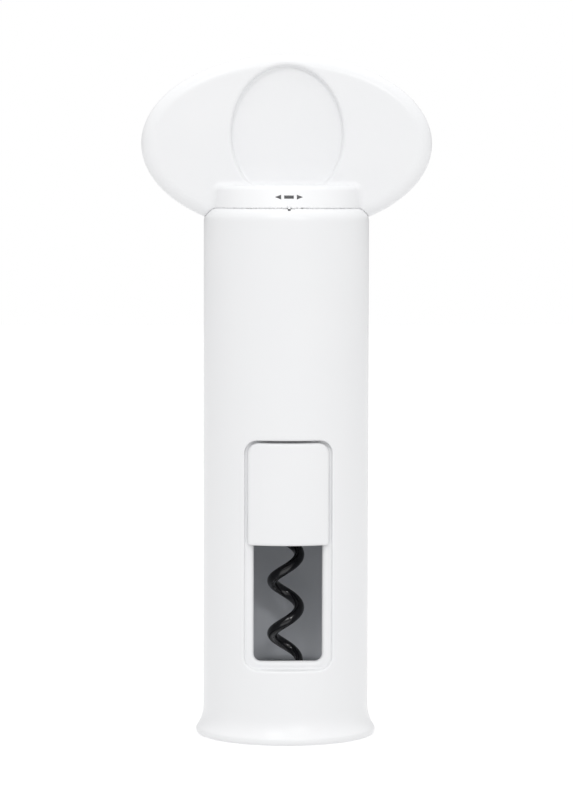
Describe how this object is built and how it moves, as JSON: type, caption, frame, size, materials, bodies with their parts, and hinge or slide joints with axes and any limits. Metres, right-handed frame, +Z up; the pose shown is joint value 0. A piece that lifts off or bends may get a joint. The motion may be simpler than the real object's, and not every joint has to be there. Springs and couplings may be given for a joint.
{
  "type": "twist corkscrew",
  "caption": "Wing-handled twist corkscrew in a slim tubular body: turning the handle feeds a worm out of the foot, and a cork holder's thumb slide shows in a front window.",
  "frame": {"origin": "centre of the foot, on the surface it stands on", "axes": "+Z up the body's axis to the handle; the window and its thumb slide face -Y; the wing lies across X"},
  "size_m": [0.0772, 0.048, 0.1811],
  "materials": {
    "white_shell": "smooth satin-gloss white",
    "grey_liner": "fine satin grey",
    "grey_moulding": "plain moulded light grey",
    "acetal": "natural acetal",
    "soft_pad": "matte dark elastomer",
    "cast_drive": "die-cast, as cast",
    "screw_steel": "zinc-plated steel",
    "black_worm": "glossy black non-stick coat"
  },
  "bodies": {
    "frame": {"body_shell": "white_shell", "feed_sleeve": "grey_moulding", "feed_ribs": "grey_moulding", "end_bearing": "acetal", "cork_chamber": "grey_liner", "neck_guide": "grey_moulding", "lip_pad": "soft_pad", "top_washer": "acetal", "under_washer": "acetal", "frame_screws": "screw_steel", "base_screws": "screw_steel"},
    "handle": {"handle_front": "white_shell", "handle_rear": "white_shell", "handle_core": "grey_moulding", "handle_dowels": "acetal", "hub_screws": "screw_steel", "drive_tube": "cast_drive", "drive_screw": "screw_steel"},
    "worm_unit": {"worm": "black_worm", "worm_carriage": "cast_drive", "follower_pin": "screw_steel"},
    "holder": {"thumb_slide": "white_shell", "cork_holder": "grey_liner", "slide_screws": "screw_steel", "slide_springs": "screw_steel"}
  },
  "joints": [
    {"name": "handle_turn", "type": "hinge", "parent": "frame", "child": "handle", "pos_m": [0, 0, 0.141], "axis": [0, 0, -1], "range_deg": [0, 1080]},
    {"name": "worm_feed", "type": "slide", "parent": "handle", "child": "worm_unit", "axis": [0, 0, -1], "range_m": [0, 0.0426]},
    {"name": "holder_slide", "type": "slide", "parent": "frame", "child": "holder", "axis": [0, 0, -1], "range_m": [0, 0.031]}
  ],
  "couplings": [
    {"joint": "worm_feed", "follows": "handle_turn", "m_per_rad": 0.00226}
  ]
}
